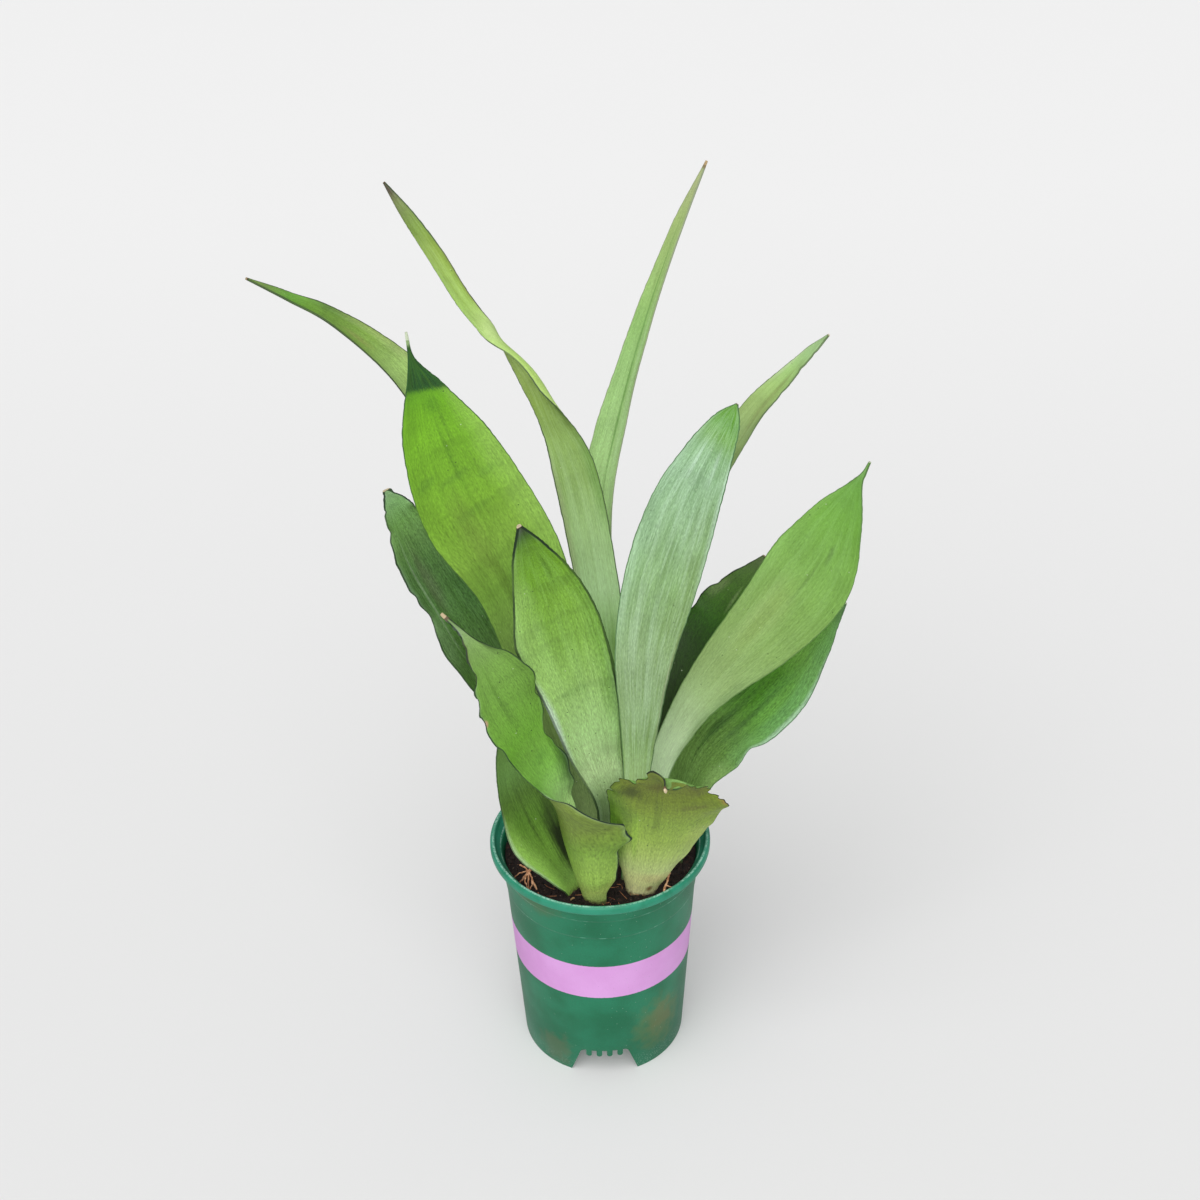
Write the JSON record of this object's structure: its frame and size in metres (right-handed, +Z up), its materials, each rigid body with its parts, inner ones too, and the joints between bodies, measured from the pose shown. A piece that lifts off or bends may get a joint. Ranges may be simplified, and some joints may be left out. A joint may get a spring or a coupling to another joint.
{
  "type": "potted moonshine snake plant",
  "caption": "Potted snake plant with upright, curling silver-green blades in a tall tapered nursery pot with a rolled lip.",
  "frame": {"origin": "on the surface that the pot stands on, under the middle of the whole plant's box", "axes": "+Z up along the pot's axis, -Y towards the side that the picture shows, +X to its right"},
  "size_m": [0.3182, 0.192, 0.5235],
  "materials": {
    "pot_plastic": "semi-gloss moulded",
    "potting_soil": "moist crumbly potting mix",
    "rootstock": "dull, knobbly",
    "fine_root": "dull, fibrous",
    "leaf_silver": "waxy satin",
    "leaf_bright": "waxy satin",
    "leaf_dark": "waxy satin",
    "leaf_olive": "waxy satin"
  },
  "bodies": {
    "root": {"pot": "pot_plastic", "soil": "potting_soil", "rhizome": "rootstock", "roots_left": "fine_root", "root_right": "fine_root", "leaf_far_left": "leaf_silver", "leaf_big_left": "leaf_bright", "leaf_twisted": "leaf_silver", "leaf_top": "leaf_bright", "leaf_center_front": "leaf_bright", "leaf_silver_right": "leaf_silver", "leaf_upper_right": "leaf_bright", "leaf_dark_right": "leaf_dark", "leaf_big_right": "leaf_bright", "leaf_low_right": "leaf_dark", "leaf_back_left": "leaf_dark", "leaf_left_front": "leaf_bright", "leaf_low_left": "leaf_dark", "leaf_front_right": "leaf_olive"}
  },
  "joints": []
}
